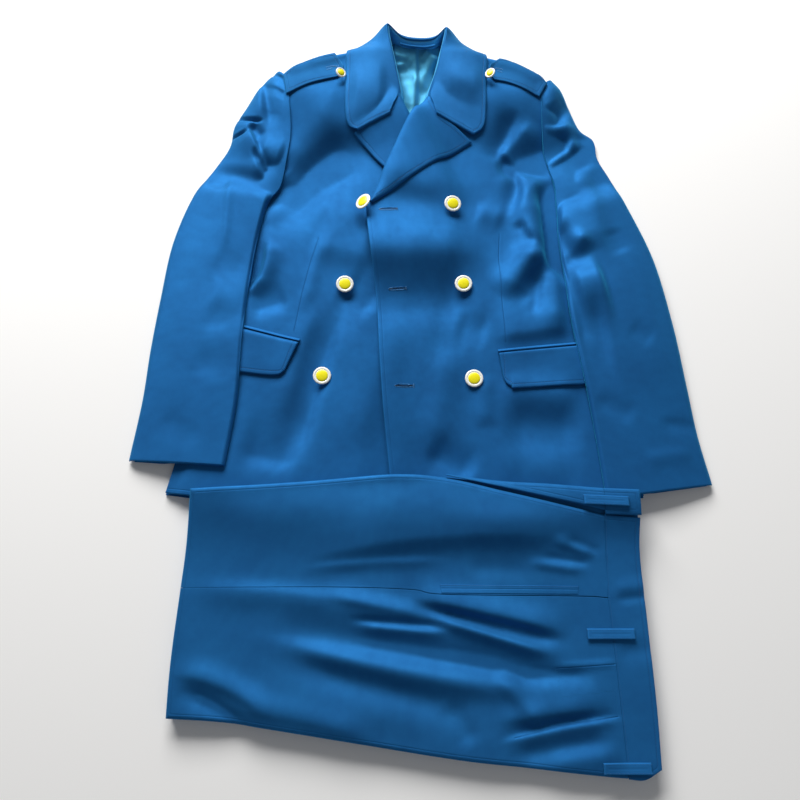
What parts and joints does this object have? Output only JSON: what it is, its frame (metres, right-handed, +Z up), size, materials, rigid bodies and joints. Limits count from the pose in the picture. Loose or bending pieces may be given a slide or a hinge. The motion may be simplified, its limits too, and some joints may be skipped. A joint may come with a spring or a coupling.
{
  "type": "double-breasted uniform suit, laid out flat",
  "caption": "Double-breasted uniform tunic laid on its back with open lapels, its trousers folded leg on leg and laid crosswise over the hem.",
  "frame": {"origin": "on the surface that the suit lies on, at the centre of its bounding box in X and Y", "axes": "+Z up from that surface, +Y towards the tunic's collar, +X towards the viewer's right"},
  "size_m": [0.792, 1.0982, 0.0445],
  "materials": {
    "tunic_cloth": "blue wool gabardine with a soft satin sheen",
    "trouser_cloth": "blue wool gabardine, slightly duller",
    "lining_satin": "shiny light blue satin",
    "gilt_button": "polished gilt with a pale silvery rim"
  },
  "bodies": {
    "root": {"tunic_back": "tunic_cloth", "neck_lining": "lining_satin", "front_under": "tunic_cloth", "front_over": "tunic_cloth", "lapel_under": "tunic_cloth", "lapel_over": "tunic_cloth", "pocket_flap_left": "tunic_cloth", "pocket_flap_right": "tunic_cloth", "pocket_welt_left": "tunic_cloth", "pocket_welt_right": "tunic_cloth", "collar": "tunic_cloth", "collar_stand": "tunic_cloth", "hanger_loop": "tunic_cloth", "under_sleeve_left": "tunic_cloth", "under_sleeve_right": "tunic_cloth", "top_sleeve_left": "tunic_cloth", "top_sleeve_right": "tunic_cloth", "shoulder_strap_left": "tunic_cloth", "shoulder_strap_right": "tunic_cloth", "button_1": "gilt_button", "button_2": "gilt_button", "button_3": "gilt_button", "button_4": "gilt_button", "button_5": "gilt_button", "button_6": "gilt_button", "strap_button_left": "gilt_button", "strap_button_right": "gilt_button", "trouser_layers": "trouser_cloth", "trouser_front_behind": "trouser_cloth", "waistband_behind": "trouser_cloth", "trouser_front": "trouser_cloth", "trouser_back": "trouser_cloth", "waistband": "trouser_cloth", "trouser_pocket_edge": "trouser_cloth", "belt_loop_top": "trouser_cloth", "belt_loop_middle": "trouser_cloth", "belt_loop_bottom": "trouser_cloth"}
  },
  "joints": []
}
